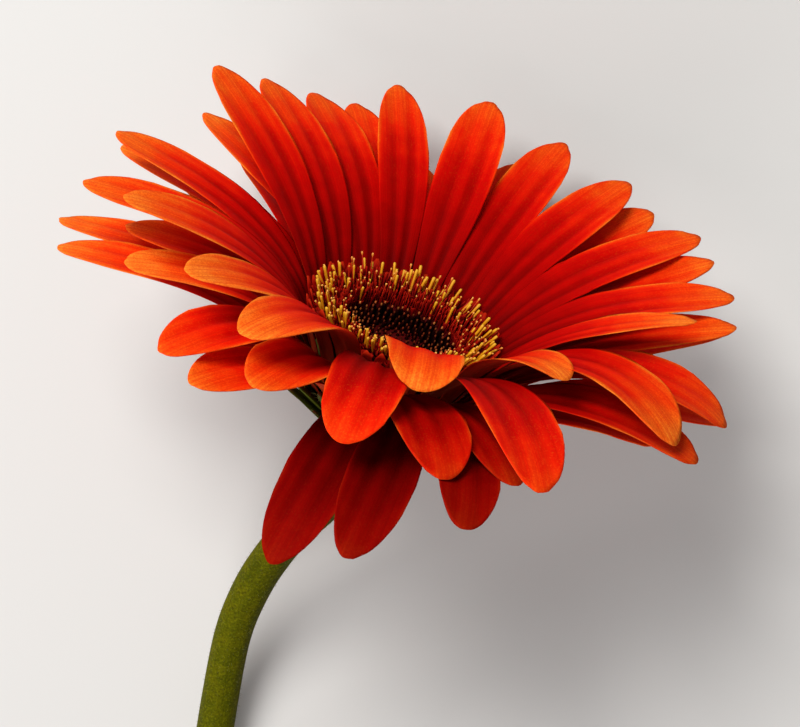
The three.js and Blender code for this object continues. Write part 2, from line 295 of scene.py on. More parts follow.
def mottle_group():
    """Soft patches and fine speckle that lie through the whole flower."""
    scales = {"Patch Scale": 160.0, "Speckle Scale": 1600.0}
    tree, given, result = group_tree("mottle", scales, ("Patches", "Speckle"))
    place = add_node(tree, "ShaderNodeTexCoord", {}).outputs["Object"]
    feed(tree, result["Patches"], noise_node(tree, place, given["Patch Scale"], 3.0))
    feed(tree, result["Speckle"], noise_node(tree, place, given["Speckle Scale"], 2.0, 0.7))
    return tree


VEINS = vein_group()
MOTTLE = mottle_group()


def use_group(tree, group, **values):
    """Places a node group in a material with its own values, and gives its outputs."""
    node = tree.nodes.new("ShaderNodeGroup")
    node.node_tree = group
    for name, value in values.items():
        node.inputs[name.replace("_", " ")].default_value = value
    return node.outputs


def new_material(name, roughness, sheen=0.0, subsurface=0.0, gloss=0.2):
    """A Principled material. Values that are the same all over are set on the shader itself."""
    material = bpy.data.materials.new(name)
    material.use_nodes = True
    tree = material.node_tree
    shader = tree.nodes["Principled BSDF"]
    for socket, value in (
        ("Roughness", roughness),
        ("Sheen Weight", sheen),
        ("Sheen Roughness", 0.45),
        ("Subsurface Weight", subsurface),
        ("Subsurface Radius", (1.0, 0.25, 0.12)),
        ("Subsurface Scale", 1.2 * MM),
        ("Specular IOR Level", gloss),
    ):
        shader.inputs[socket].default_value = value
    return material, tree, shader


def finish_shader(tree, shader, color, roughness, height, strength, distance):
    """Links a surface's colour, roughness and fine relief."""
    relief = {"Height": height, "Strength": strength, "Distance": distance}
    bump = add_node(tree, "ShaderNodeBump", relief).outputs["Normal"]
    for socket, source in (("Base Color", color), ("Roughness", roughness), ("Normal", bump)):
        feed(tree, shader.inputs[socket], source)


# ---- materials ----


def petal_material():
    """Dark red at the foot, partly pigment and partly painted shade where the petals crowd, pure red along
    the blade, orange at the tip and the edges.
    """
    material, tree, shader = new_material("petal_velvet", 0.65, subsurface=0.06, gloss=0.012)
    across, along = own_uv(tree)
    lines, broad = use_group(tree, VEINS, Across=34.0, Along=1.3)
    patches, speckle = use_group(tree, MOTTLE, Patch_Scale=230.0, Speckle_Scale=3400.0)
    groove = attribute_value(tree, "groove")

    # how far towards orange: further along the petal and at its edges, less far in its grooves, which is
    # painted shade in their hollows
    from_middle = math_node(tree, "ABSOLUTE", swing(tree, across))
    edge = times(tree, range_node(tree, from_middle, 0.39, 0.5), range_node(tree, along, 0.3, 0.9))
    reach = along
    for part, amount in (
        (swing(tree, patches), 0.26),
        (swing(tree, broad), 0.22),
        (attribute_value(tree, "glow"), 0.36),
        (edge, 0.42),
        (groove, -0.10),
    ):
        reach = plus(tree, reach, times(tree, part, amount))
    reach = times(tree, reach, 0.90)
    # the dark red at the foot of the ramp is partly pigment and partly painted shade where the petals crowd
    # together
    color = ramp_node(
        tree,
        reach,
        [
            (0.00, (0.10, 0.0004, 0.0004)),
            (0.18, (0.20, 0.0005, 0.0004)),
            (0.38, (0.38, 0.0008, 0.0005)),
            (0.56, (0.58, 0.0020, 0.0008)),
            (0.70, (0.80, 0.0120, 0.0012)),
            (0.81, (0.90, 0.0550, 0.0030)),
            (0.91, (0.96, 0.1400, 0.0080)),
            (1.00, (0.98, 0.2500, 0.0200)),
        ],
    )

    # painted shade darkens the grooves' hollows, and fine veins are a little darker
    dark = tinted(tree, color, (0.66, 0.50, 0.60))
    color = mix_color(tree, math_node(tree, "MULTIPLY", groove, 0.75, clamp=True), color, dark)
    color = mix_color(tree, range_node(tree, lines, 0.40, 0.60, 0.30, 0.0), color, dark)

    # orange grain towards the tip, then red flecks and streaks in what is orange
    far = range_node(tree, along, 0.35, 0.95)
    grain = times(tree, range_node(tree, speckle, 0.52, 0.75, 0.0, 0.18), far)
    color = mix_color(tree, grain, color, (0.98, 0.21, 0.02))
    flecked = range_node(tree, reach, 0.55, 0.85)
    flecks = times(tree, range_node(tree, speckle, 0.40, 0.56, 0.36, 0.0), flecked)
    color = mix_color(tree, flecks, color, (0.60, 0.010, 0.002))
    streaked = range_node(tree, reach, 0.60, 0.85)
    streaks = times(tree, range_node(tree, lines, 0.42, 0.58, 0.28, 0.0), streaked)
    color = mix_color(tree, streaks, color, (0.72, 0.020, 0.003))

    # the back of a petal is duller, and the petals in the shade of the head's lower side are darkened by
    # painted shade
    dull = mix_color(tree, 0.5, color, (0.66, 0.065, 0.016))
    color = mix_color(tree, attribute_value(tree, "underside"), color, dull)
    painted_shade_color = tinted(tree, color, (0.25, 0.09, 0.25))
    color = mix_color(tree, attribute_value(tree, "depth"), color, painted_shade_color)

    roughness = range_node(tree, patches, 0.2, 0.8, 0.55, 0.68)
    height = plus(tree, times(tree, lines, 0.7), times(tree, speckle, 0.3))
    finish_shader(tree, shader, color, roughness, height, 0.25, 0.15 * MM)
    return material


def tipped_material(name, stops, roughness, bump=0.2, gloss=0.2):
    """A small piece coloured from its foot to its tip, with fine lines and speckle."""
    material, tree, shader = new_material(name, roughness, gloss=gloss)
    _, along = own_uv(tree)
    lines, _ = use_group(tree, VEINS, Across=9.0, Along=1.0)
    patches, speckle = use_group(tree, MOTTLE, Patch_Scale=420.0, Speckle_Scale=3200.0)
    color = ramp_node(tree, plus(tree, along, times(tree, swing(tree, patches), 0.3)), stops)
    dark = tinted(tree, color, (0.5, 0.45, 0.45))
    color = mix_color(tree, range_node(tree, lines, 0.35, 0.6, 0.45, 0.0), color, dark)
    uneven = range_node(tree, speckle, 0.3, 0.7, roughness - 0.1, roughness + 0.1)
    finish_shader(tree, shader, color, uneven, plus(tree, lines, speckle), bump, 0.1 * MM)
    return material


def stem_material():
    """Olive green in fine grains of moss, olive and brown, with faint streaks along its length."""
    material, tree, shader = new_material("stem_skin", 0.65, sheen=0.01, subsurface=0.04, gloss=0.02)
    _, along = own_uv(tree)
    lines, _ = use_group(tree, VEINS, Across=22.0, Along=9.0)
    patches, speckle = use_group(tree, MOTTLE, Patch_Scale=420.0, Speckle_Scale=2400.0)
    color = ramp_node(
        tree,
        patches,
        [(0.30, (0.052, 0.057, 0.0006)), (0.5, (0.078, 0.079, 0.0008)), (0.72, (0.098, 0.090, 0.0012))],
    )
    for mask, grain_color in (
        (range_node(tree, lines, 0.34, 0.64, 0.22, 0.0), (0.045, 0.048, 0.001)),
        (range_node(tree, speckle, 0.52, 0.66, 0.0, 0.55), (0.150, 0.142, 0.003)),
        (range_node(tree, speckle, 0.34, 0.47, 0.65, 0.0), (0.036, 0.032, 0.001)),
        (range_node(tree, along, 0.93, 1.0, 0.0, 0.25), (0.10, 0.040, 0.004)),
    ):
        color = mix_color(tree, mask, color, grain_color)
    roughness = range_node(tree, patches, 0.3, 0.7, 0.55, 0.75)
    height = plus(tree, times(tree, lines, 0.4), speckle)
    finish_shader(tree, shader, color, roughness, height, 0.6, 0.25 * MM)
    return material


def pith_material():
    """The cut end of the stem: a green rim, a ring of darker strands and a pale spongy middle."""
    material, tree, shader = new_material("cut_end", 0.7, subsurface=0.1)
    _, along = own_uv(tree)
    patches, speckle = use_group(tree, MOTTLE, Patch_Scale=900.0, Speckle_Scale=4200.0)
    color = ramp_node(
        tree,
        plus(tree, along, times(tree, swing(tree, patches), 0.16)),
        [
            (0.0, (0.13, 0.14, 0.03)),
            (0.14, (0.34, 0.40, 0.12)),
            (0.30, (0.20, 0.25, 0.06)),
            (0.42, (0.55, 0.60, 0.32)),
            (0.80, (0.72, 0.74, 0.52)),
            (1.0, (0.44, 0.42, 0.22)),
        ],
    )
    roughness = range_node(tree, speckle, 0.3, 0.7, 0.55, 0.85)
    finish_shader(tree, shader, color, roughness, speckle, 0.5, 0.2 * MM)
    return material


def bud_material():
    """A closed floret: almost black, with a small round tip that is golden pink where it is riper and dark
    where it lies in painted shade.
    """
    material, tree, shader = new_material("closed_bud", 0.7, gloss=0.01)
    _, along = own_uv(tree)
    patches, speckle = use_group(tree, MOTTLE, Patch_Scale=700.0, Speckle_Scale=3200.0)
    body = ramp_node(
        tree,
        along,
        [(0.0, (0.001, 0.0001, 0.0001)), (0.7, (0.004, 0.0003, 0.0003)), (0.84, (0.016, 0.0006, 0.0006))],
    )
    # the golden tip fades to dark where the bud is unripe and where painted shade of the head's lower side
    # falls
    ripe_and_unshaded = attribute_value(tree, "ripeness_and_shade")
    tip = mix_color(tree, ripe_and_unshaded, (0.008, 0.0008, 0.0008), (0.72, 0.22, 0.05))
    tip = mix_color(tree, range_node(tree, patches, 0.35, 0.65, 0.0, 0.4), tip, (0.45, 0.06, 0.02))
    color = mix_color(tree, range_node(tree, along, 0.84, 0.90), body, tip)
    roughness = range_node(tree, speckle, 0.3, 0.7, 0.4, 0.6)
    finish_shader(tree, shader, color, roughness, speckle, 0.2, 0.1 * MM)
    return material


PETAL = petal_material()
STEM = stem_material()
PITH = pith_material()
BUD = bud_material()
STRAP = tipped_material(
    "strap_floret",
    [(0.0, (0.04, 0.0005, 0.0005)), (0.45, (0.16, 0.001, 0.001)), (0.85, (0.34, 0.004, 0.001)),
     (1.0, (0.50, 0.02, 0.003))],
    0.6, gloss=0.04,
)
TUBE = tipped_material(
    "floret_tube",
    [(0.0, (0.010, 0.0003, 0.0003)), (0.35, (0.05, 0.0005, 0.0005)), (0.75, (0.18, 0.001, 0.001)),
     (1.0, (0.30, 0.006, 0.002))],
    0.6, gloss=0.04,
)
FILAMENT = tipped_material(
    "filament",
    [(0.0, (0.01, 0.0003, 0.0003)), (0.4, (0.08, 0.0006, 0.0004)), (0.80, (0.22, 0.0015, 0.001)),
     (1.0, (0.40, 0.010, 0.003))],
    0.6, gloss=0.04,
)
ANTHER = tipped_material(
    "anther",
    [(0.0, (0.42, 0.04, 0.003)), (0.20, (0.70, 0.22, 0.003)), (0.75, (0.80, 0.34, 0.005)),
     (1.0, (0.88, 0.48, 0.030))],
    0.5,
)
STYLE = tipped_material(
    "style",
    [(0.0, (0.45, 0.008, 0.002)), (0.80, (0.60, 0.03, 0.004)), (0.90, (0.90, 0.28, 0.03)),
     (1.0, (0.95, 0.45, 0.09))],
    0.5,
)
EYE_BED = tipped_material(
    "eye_bed", [(0.0, (0.002, 0.0002, 0.0002)), (1.0, (0.006, 0.0004, 0.0004))], 0.8, gloss=0.03
)
CROWN_BED = tipped_material(
    "crown_bed", [(0.0, (0.02, 0.0005, 0.0005)), (1.0, (0.07, 0.001, 0.001))], 0.7, gloss=0.05
)
BRACT = tipped_material(
    "bract",
    [(0.0, (0.11, 0.13, 0.010)), (0.55, (0.075, 0.090, 0.005)), (0.86, (0.060, 0.058, 0.005)),
     (1.0, (0.10, 0.022, 0.005))],
    0.65, bump=0.4, gloss=0.06,
)
RECEPTACLE = tipped_material(
    "receptacle_skin", [(0.0, (0.11, 0.13, 0.012)), (1.0, (0.15, 0.16, 0.03))], 0.65, bump=0.5, gloss=0.06
)
HAIR = tipped_material("hair", [(0.0, (0.15, 0.15, 0.02)), (1.0, (0.36, 0.36, 0.12))], 0.5, gloss=0.05)


# ---- mesh helpers ----


def new_object(name, mesh):
    made = bpy.data.objects.new(name, mesh)
    bpy.context.scene.collection.objects.link(made)
    return made


def mesh_from(name, points, faces, uvs, materials, attributes=None):
    """A smooth mesh with one UV per vertex and named values per vertex."""
    mesh = bpy.data.meshes.new(name)
    mesh.from_pydata([tuple(point) for point in points], [], faces)
    layer = mesh.uv_layers.new(name="UVMap")
    for polygon in mesh.polygons:
        polygon.use_smooth = True
        for loop in polygon.loop_indices:
            layer.data[loop].uv = uvs[mesh.loops[loop].vertex_index]
    for attribute_name, values in (attributes or {}).items():
        attribute = mesh.attributes.new(attribute_name, "FLOAT", "POINT")
        attribute.data.foreach_set("value", values)
    for material in materials:
        mesh.materials.append(material)
    mesh.update()
    return mesh


def tube_mesh(name, rings, uvs, materials=(), closed_start=True, closed_end=True):
    """A skin over rings of points, closed at each end by a fan to its middle."""
    sides = len(rings[0])
    points = [point for ring in rings for point in ring]
    uv_list = [uv for ring in uvs for uv in ring]
    faces = []
    for i in range(len(rings) - 1):
        for j in range(sides):
            k = (j + 1) % sides
            faces.append((i * sides + j, i * sides + k, (i + 1) * sides + k, (i + 1) * sides + j))
    for closed, row, flip in ((closed_start, 0, True), (closed_end, len(rings) - 1, False)):
        if not closed:
            continue
        pole = len(points)
        points.append(sum(rings[row], Vector()) / sides)
        uv_list.append(uvs[row][0])
        for j in range(sides):
            k = (j + 1) % sides
            a, b = row * sides + j, row * sides + k
            faces.append((pole, b, a) if flip else (pole, a, b))
    return mesh_from(name, points, faces, uv_list, materials)


def finish_piece(piece, slot, *nodes):
    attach(piece, "root")
    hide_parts(*nodes)


# ---- petals ----

PETAL_RING = 8  # corners in a cross-section of a packed petal
FOOT_RISE = math.radians(57)  # how steeply the middle petals leave the receptacle
PETAL_ROWS = 46
PETAL_COLUMNS = 24
CROWDING = 0.35  # how much the columns crowd towards a petal's edges
FIRST_PETAL_SEED = 100
FULLEST = 0.66  # where a petal is widest, as a share of its length
TIP_SLENDER = (1.6, 2.0)  # how fast a tip narrows from its middle: less is more pointed
TIP_BLUNT = 2.2  # how square a tip's shoulders are
PETAL_THICKNESS = 0.42 * MM
PETAL_CUP = 0.12  # how far a blade's edges rise, as a share of its half width
NICKS = (-0.30, 0.05, 0.36)  # small dents in the tip, as places across it
NICK_WIDTH = 0.10
GROOVE_PLACE = 0.34
GROOVE_WIDTH = 0.16
GROOVE_DEPTH = 0.26 * MM
FOOT_BURIED = 1.6 * MM
WAIST = 0.03  # how much a petal draws in between its foot and its blade
WAIST_PLACE = 0.26
WAIST_LENGTH = 0.18

# How orange a petal is, by its whorl and its number, where it differs from a plain one.
PLAIN_GLOW = 0.06
# below zero on the petals of the head's lower side, the value is partly painted shade
GLOW = {
    "inner": {1: 0.16, 2: 0.14, 3: 0.12, 4: 0.10, 8: 0.12, 9: 0.12, 10: 0.26, 11: 0.30, 12: 0.30,
              13: 0.50, 14: 0.38, 15: -0.22, 16: 0.32, 17: -0.20, 18: 0.50, 19: 0.32, 20: 0.45},
    "middle": {1: 0.26, 2: 0.15, 3: 0.16, 6: 0.30, 7: 0.30, 8: 0.20, 9: 0.55, 10: -0.04, 11: 0.16,
               12: -0.28, 13: -0.20},
    "outer": {1: 0.26, 2: 0.15, 9: 0.36, 10: 0.36, 12: 0.22, 13: -0.30, 14: -0.30, 15: -0.25},
}

# Painted shade: how far a petal's colour is darkened, for the petals in the shade of the head's lower side.
PAINTED_SHADE = {
    "inner": {},
    "middle": {12: 0.35, 13: 0.6, 14: 0.30},
    "outer": {11: 0.5, 13: 0.95, 14: 0.95, 15: 0.9},
}

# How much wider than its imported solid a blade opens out.
WIDER = {
    "inner": {14: 1.06, 15: 1.08, 16: 1.12, 18: 1.06, 19: 1.22},
    "middle": {14: 1.15, 15: 1.1},
    "outer": {},
}


def own_value(table, node, plain):
    """A petal's own value in a table of whorls, or the plain value."""
    _, whorl, number = node.split("_")
    return table[whorl].get(int(number), plain)


def middle_line(node):
    """The petal's middle line, sideways directions and half widths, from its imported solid."""
    mesh = joined(node)
    to_head = HEAD.inverted()
    local = {vertex: to_head @ vertex.co for vertex in mesh.verts}
    nearest = min(local.values(), key=lambda p: math.hypot(p.x, p.y))
    out = Vector((nearest.x, nearest.y, 0)).normalized()
    forward = out * math.cos(FOOT_RISE) + UP * math.sin(FOOT_RISE)
    first = sorted(mesh.verts, key=lambda vertex: local[vertex].dot(forward))[:PETAL_RING]
    rings = rings_of(mesh, first, PETAL_RING)
    mesh.free()
    middles, sides, halves = [], [], []
    for ring in rings:
        local_ring = [to_head @ point for point in ring]
        pairs = [(a, b) for i, a in enumerate(local_ring) for b in local_ring[i + 1:]]
        left, right = max(pairs, key=lambda pair: (pair[0] - pair[1]).length)
        inner = [p for p in local_ring if p is not left and p is not right]
        middles.append(sum(inner, Vector()) / len(inner))
        sides.append((right - left).normalized())
        halves.append((right - left).length / 2)
    for i, side in enumerate(sides):
        along = middles[min(i + 1, len(middles) - 1)] - middles[max(i - 1, 0)]
        if UP.cross(along).dot(side) < 0:
            sides[i] = -side
    return middles, sides, halves


def spline(values, stations, at):
    """A smooth curve through values at stations."""
    i = 0
    while i < len(stations) - 2 and at > stations[i + 1]:
        i += 1
    before, start = values[max(i - 1, 0)], values[i]
    end, after = values[i + 1], values[min(i + 2, len(values) - 1)]
    span = stations[i + 1] - stations[i]
    span_before = stations[i + 1] - stations[max(i - 1, 0)]
    span_after = stations[min(i + 2, len(stations) - 1)] - stations[i]
    leave = (end - before) * (span / span_before)
    arrive = (after - start) * (span / span_after)
    t = (at - stations[i]) / span
    return (
        start * (2 * t**3 - 3 * t**2 + 1)
        + leave * (t**3 - 2 * t**2 + t)
        + end * (3 * t**2 - 2 * t**3)
        + arrive * (t**3 - t**2)
    )


ROW_POINTS = PETAL_COLUMNS + 1
FACE_POINTS = ROW_POINTS * (PETAL_ROWS + 1)


def petal_faces():
    """A front and a back of rows and columns, joined round their rim."""
    faces = []
    for i in range(PETAL_ROWS):
        for j in range(PETAL_COLUMNS):
            a, b = i * ROW_POINTS + j, i * ROW_POINTS + j + 1
            c, d = b + ROW_POINTS, a + ROW_POINTS
            faces.append((a, b, c, d))
            faces.append((FACE_POINTS + a, FACE_POINTS + d, FACE_POINTS + c, FACE_POINTS + b))
    rim = list(range(ROW_POINTS))
    rim += [i * ROW_POINTS + ROW_POINTS - 1 for i in range(1, PETAL_ROWS + 1)]
    rim += [PETAL_ROWS * ROW_POINTS + j for j in range(ROW_POINTS - 2, -1, -1)]
    rim += [i * ROW_POINTS for i in range(PETAL_ROWS - 1, 0, -1)]
    for a, b in zip(rim, rim[1:] + rim[:1]):
        faces.append((b, a, FACE_POINTS + a, FACE_POINTS + b))
    return faces


PETAL_FACES = petal_faces()


def petal_mesh(node, seed):
    """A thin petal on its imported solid's middle line, with its own tip, ripple, twist and grooves."""
    chance = random.Random(seed)
    middles, sides, halves = middle_line(node)
    stations = stations_of(middles)
    widest = max(halves)
    wider = own_value(WIDER, node, 1.0)
    nicks = [(nick, chance.uniform(0.0, 0.006)) for nick in NICKS]
    skew = chance.uniform(-0.012, 0.012)
    ripple_turns = chance.uniform(1.2, 2.4)
    ripple_start = chance.uniform(0, 2 * math.pi)
    ripple = chance.uniform(0.06, 0.24) * MM
    twist = math.radians(chance.uniform(-5, 5))
    groove_shift = chance.uniform(-0.04, 0.04)
    uneven = [chance.uniform(-0.02, 0.03) for _ in range(6)]
    slender = chance.uniform(*TIP_SLENDER)

    def outline(across):
        """Where the petal ends, as a share of its length, at a place across it."""
        reach = FULLEST + (1 - FULLEST) * max(0.0, 1 - abs(across) ** slender) ** (1 / TIP_BLUNT)
        for nick, depth in nicks:
            reach -= depth * bell(across, nick + groove_shift, NICK_WIDTH)
        return reach + skew * across * (1 - abs(across))

    def half_at(share):
        """Half the width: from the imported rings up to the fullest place, then constant."""
        if share >= FULLEST:
            return widest
        return min(widest, spline(halves, stations, share))

    def place(share):
        """Middle point, sideways and upward directions at a share of the length."""
        centre = spline(middles, stations, min(share, 1.0))
        ahead = spline(middles, stations, min(share + 0.01, 1.0))
        behind = spline(middles, stations, max(share - 0.01, 0.0))
        along = (ahead - behind).normalized()
        side = spline(sides, stations, min(share, 1.0))
        turn = twist * smoothstep(0.3, 1.0, share)
        side = (side - along * side.dot(along)).normalized()
        up = along.cross(side)
        side = side * math.cos(turn) + up * math.sin(turn)
        up = along.cross(side)
        return centre, along, side, up

    columns = []
    for j in range(PETAL_COLUMNS + 1):
        even = 2 * j / PETAL_COLUMNS - 1
        across = -math.cos(math.pi * j / PETAL_COLUMNS) * CROWDING + even * (1 - CROWDING)
        groove = bell(across, GROOVE_PLACE + groove_shift, GROOVE_WIDTH)
        groove += bell(across, groove_shift - GROOVE_PLACE, GROOVE_WIDTH)
        columns.append((across, outline(across), groove))

    points, uvs, underside, grooves = [], [], [], []
    for face_side in (1, -1):
        for i in range(PETAL_ROWS + 1):
            for across, reach, groove in columns:
                share = i / PETAL_ROWS * reach
                centre, along, side, up = place(share)
                edge_wave = uneven[int(share * 5.99)] * smoothstep(0.2, 0.6, share)
                half = half_at(share) * lerp(1.0, wider, smoothstep(0.3, 0.6, share))
                half *= 1 + edge_wave * abs(across)
                half *= 1 - WAIST * bell(share, WAIST_PLACE, WAIST_LENGTH)
                keel = GROOVE_DEPTH * smoothstep(0.02, 0.2, share) * (1 - 0.6 * smoothstep(0.7, 1.0, share))
                wave = ripple * math.sin(ripple_start + ripple_turns * 2 * math.pi * share) * across
                cup = PETAL_CUP * half * smoothstep(0.0, 0.3, share) * across * across
                crown = cup + wave * abs(across) * smoothstep(0.3, 0.7, share) - keel * groove
                crown += 0.5 * keel * bell(across, 0.0, 0.25)
                thin = (1 - 0.35 * share) * (1 - 0.86 * abs(across) ** 5)
                thin *= 1 - 0.75 * smoothstep(0.96, 1.0, share)
                lift = crown + face_side * 0.5 * PETAL_THICKNESS * thin
                points.append(centre + side * (half * across) + up * lift)
                uvs.append((0.5 + 0.5 * across, share))
                underside.append(0.0 if face_side > 0 else 1.0)
                grooves.append(groove * (1 - 0.7 * smoothstep(0.55, 0.95, share)))

    # the foot sinks into the receptacle
    start_centre, start_along, _, _ = place(0.0)
    inward = -start_along * FOOT_BURIED - Vector((start_centre.x, start_centre.y, 0)).normalized() * MM
    for base in (0, FACE_POINTS):
        for j in range(ROW_POINTS):
            points[base + j] = points[base + j] + inward
    glow = own_value(GLOW, node, PLAIN_GLOW) + chance.uniform(-0.06, 0.06)
    values = {
        "underside": underside,
        "groove": grooves,
        "glow": [glow] * len(points),
        # painted shade: how far this petal is darkened for the shade of the head's lower side
        "depth": [own_value(PAINTED_SHADE, node, 0.0)] * len(points),
    }
    in_place = [HEAD @ point for point in points]
    return mesh_from(node + "_petal", in_place, PETAL_FACES, uvs, [PETAL], values)


ray_nodes = sorted(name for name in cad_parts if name.startswith("ray_"))
for number, node in enumerate(ray_nodes):
    petal = new_object("petal_" + node[4:], petal_mesh(node, FIRST_PETAL_SEED + number))
    finish_piece(petal, "petal", node)


# ---- florets set out by geometry nodes ----


def planting_tree():
    """Sets a copy of one small piece on every point, upright along the point's own direction."""
    tree = bpy.data.node_groups.new("set_out_pieces", "GeometryNodeTree")
    for name, kind in (
        ("Geometry", "Geometry"), ("Piece", "Object"), ("Shortest", "Float"), ("Tallest", "Float"),
        ("Lean", "Float"), ("Spin", "Float"), ("Seed", "Int"), ("Finish", "Material"),
    ):
        tree.interface.new_socket(name, in_out="INPUT", socket_type="NodeSocket" + kind)
    tree.interface.new_socket("Geometry", in_out="OUTPUT", socket_type="NodeSocketGeometry")
    given = add_node(tree, "NodeGroupInput", {}).outputs

    def add(kind, output, inputs, **settings):
        return add_node(tree, kind, inputs, **settings).outputs[output]

    def named(name):
        return add("GeometryNodeInputNamedAttribute", "Attribute", {"Name": name}, data_type="FLOAT_VECTOR")

    # along the point's own direction, facing outwards
    align = "FunctionNodeAlignRotationToVector"
    upright = add(align, "Rotation", {"Vector": named("pointing")}, axis="Z")
    outward = {"Rotation": upright, "Vector": named("facing")}
    turned = add(align, "Rotation", outward, axis="Y", pivot_axis="Z")

    # a random lean and spin
    limits = add("ShaderNodeCombineXYZ", 0, {0: given["Lean"], 1: given["Lean"], 2: given["Spin"]})
    opposite = add("ShaderNodeVectorMath", 0, {0: limits, "Scale": -1.0}, operation="SCALE")
    span = {"Min": opposite, "Max": limits, "Seed": given["Seed"]}
    sway = add("FunctionNodeRandomValue", "Value", span, data_type="FLOAT_VECTOR")
    turns = {"Rotation": turned, "Rotate By": add("FunctionNodeEulerToRotation", 0, {0: sway})}
    swayed = add("FunctionNodeRotateRotation", "Rotation", turns, rotation_space="LOCAL")

    # the point's own size, a little more or less
    span = {2: given["Shortest"], 3: given["Tallest"], "Seed": given["Seed"]}
    height = add("FunctionNodeRandomValue", 1, span, data_type="FLOAT")
    scaled = add("ShaderNodeVectorMath", 0, {0: named("size"), "Scale": height}, operation="SCALE")

    piece = add("GeometryNodeObjectInfo", "Geometry", {"Object": given["Piece"]})
    planted = {"Points": given["Geometry"], "Instance": piece, "Rotation": swayed, "Scale": scaled}
    copies = add("GeometryNodeInstanceOnPoints", "Instances", planted)
    real = add("GeometryNodeRealizeInstances", "Geometry", {"Geometry": copies})
    finished = add("GeometryNodeSetMaterial", "Geometry", {"Geometry": real, "Material": given["Finish"]})
    add_node(tree, "NodeGroupOutput", {"Geometry": finished})
    return tree


PLANTING = planting_tree()
SOCKETS = {
    item.name: item.identifier for item in PLANTING.interface.items_tree if item.in_out == "INPUT"
}


def set_out(name, spots, piece, material, shortest, tallest, lean, spin, seed):
    """A plain mesh of copies of a piece. A spot is a place, where its copy points and faces, the copy's size
    and, if not 1, how ripe its tip is, less where painted shade darkens it."""
    points = bpy.data.meshes.new(name + "_points")
    points.from_pydata([tuple(spot[0]) for spot in spots], [], [])
    for index, key in enumerate(("pointing", "facing", "size"), start=1):
        attribute = points.attributes.new(key, "FLOAT_VECTOR", "POINT")
        attribute.data.foreach_set("vector", [value for spot in spots for value in spot[index]])
    attribute = points.attributes.new("ripeness_and_shade", "FLOAT", "POINT")
    attribute.data.foreach_set("value", [spot[4] if len(spot) > 4 else 1.0 for spot in spots])
    holder = new_object(name + "_holder", points)
    modifier = holder.modifiers.new("set_out", "NODES")
    modifier.node_group = PLANTING
    for key, value in (
        ("Piece", piece), ("Shortest", shortest), ("Tallest", tallest), ("Lean", lean),
        ("Spin", spin), ("Seed", seed), ("Finish", material),
    ):
        modifier[SOCKETS[key]] = value
    bpy.context.view_layer.update()
    graph = bpy.context.evaluated_depsgraph_get()
    mesh = bpy.data.meshes.new_from_object(holder.evaluated_get(graph), depsgraph=graph)
    mesh.name = name
    bpy.data.objects.remove(holder)
    return mesh


PATTERNS = []


def pattern(name, rings, uvs):
    """A small piece that is copied many times. It stands at the origin along Z, one unit tall."""
    made = new_object(name + "_pattern", tube_mesh(name, rings, uvs))
    PATTERNS.append(made)
    return made


def turned_pattern(name, profile, sides, bend=0.0, lobes=0, lobe_depth=0.0):
    """A round piece from (radius, height) pairs, bent towards +Y and lobed if asked."""
    rings, uvs = [], []
    for radius, height in profile:
        ring = []
        for j in range(sides):
            angle = 2 * math.pi * j / sides
            swell = radius * (1 + lobe_depth * math.cos(lobes * angle))
            forward = swell * math.sin(angle) + bend * height**2
            ring.append(Vector((swell * math.cos(angle), forward, height)))
        rings.append(ring)
        uvs.append([(j / sides, height) for j in range(sides)])
    return pattern(name, rings, uvs)


def strap_pattern(name, profile, bend, thickness, cup):
    """A flat strap from (half width, height) pairs that curls towards +Y."""
    rings, uvs = [], []
    for half, height in profile:
        ring, ring_uv = [], []
        for face_side in (1, -1):
            for j in range(5):
                across = (-1 + j / 2) * face_side
                depth = cup * half * across * across + bend * height * height
                depth -= face_side * thickness * (1 - 0.8 * across * across) * 0.5
                ring.append(Vector((half * across, depth, height)))
                ring_uv.append((0.5 + 0.5 * across, height))
        rings.append(ring)
        uvs.append(ring_uv)
    return pattern(name, rings, uvs)


bud_piece = turned_pattern(
    "closed_bud",
    [(0.16, 0.0), (0.24, 0.2), (0.21, 0.5), (0.11, 0.76), (0.050, 0.87), (0.064, 0.92), (0.056, 0.97),
     (0.02, 1.0)],
    8, lobes=4, lobe_depth=0.05,
)
anther_piece = turned_pattern(
    "anther",
    [(0.085, 0.0), (0.105, 0.12), (0.115, 0.4), (0.118, 0.75), (0.130, 0.92), (0.100, 0.985), (0.04, 1.0)],
    10, bend=0.05, lobes=5, lobe_depth=0.10,
)
style_piece = turned_pattern(
    "style",
    [(0.030, 0.0), (0.024, 0.5), (0.024, 0.86), (0.046, 0.91), (0.054, 0.95), (0.042, 0.985), (0.012, 1.0)],
    8, bend=0.06,
)
tube_piece = turned_pattern(
    "floret_tube",
    [(0.10, 0.0), (0.10, 0.35), (0.12, 0.7), (0.16, 0.9), (0.19, 1.0), (0.13, 0.97), (0.08, 0.85)],
    8, lobes=4, lobe_depth=0.12,
)
filament_piece = turned_pattern(
    "filament",
    [(0.034, 0.0), (0.030, 0.4), (0.024, 0.8), (0.036, 0.93), (0.028, 0.98), (0.01, 1.0)],
    5, bend=0.06,
)
lip_piece = strap_pattern(
    "floret_lip",
    [(0.05, 0.0), (0.075, 0.3), (0.085, 0.6), (0.06, 0.85), (0.012, 1.0)],
    0.16, 0.035, 0.35,
)
strap_piece = strap_pattern(
    "strap_floret",
    [(0.06, 0.0), (0.10, 0.2), (0.15, 0.45), (0.16, 0.65), (0.12, 0.85), (0.03, 1.0)],
    0.10, 0.045, 0.25,
)
bract_piece = strap_pattern(
    "bract",
    [(0.11, 0.0), (0.145, 0.15), (0.15, 0.4), (0.125, 0.65), (0.075, 0.85), (0.03, 0.95), (0.006, 1.0)],
    0.12, 0.055, 0.3,
)
hair_piece = turned_pattern("hair", [(0.035, 0.0), (0.028, 0.4), (0.012, 0.8), (0.002, 1.0)], 3, bend=0.18)


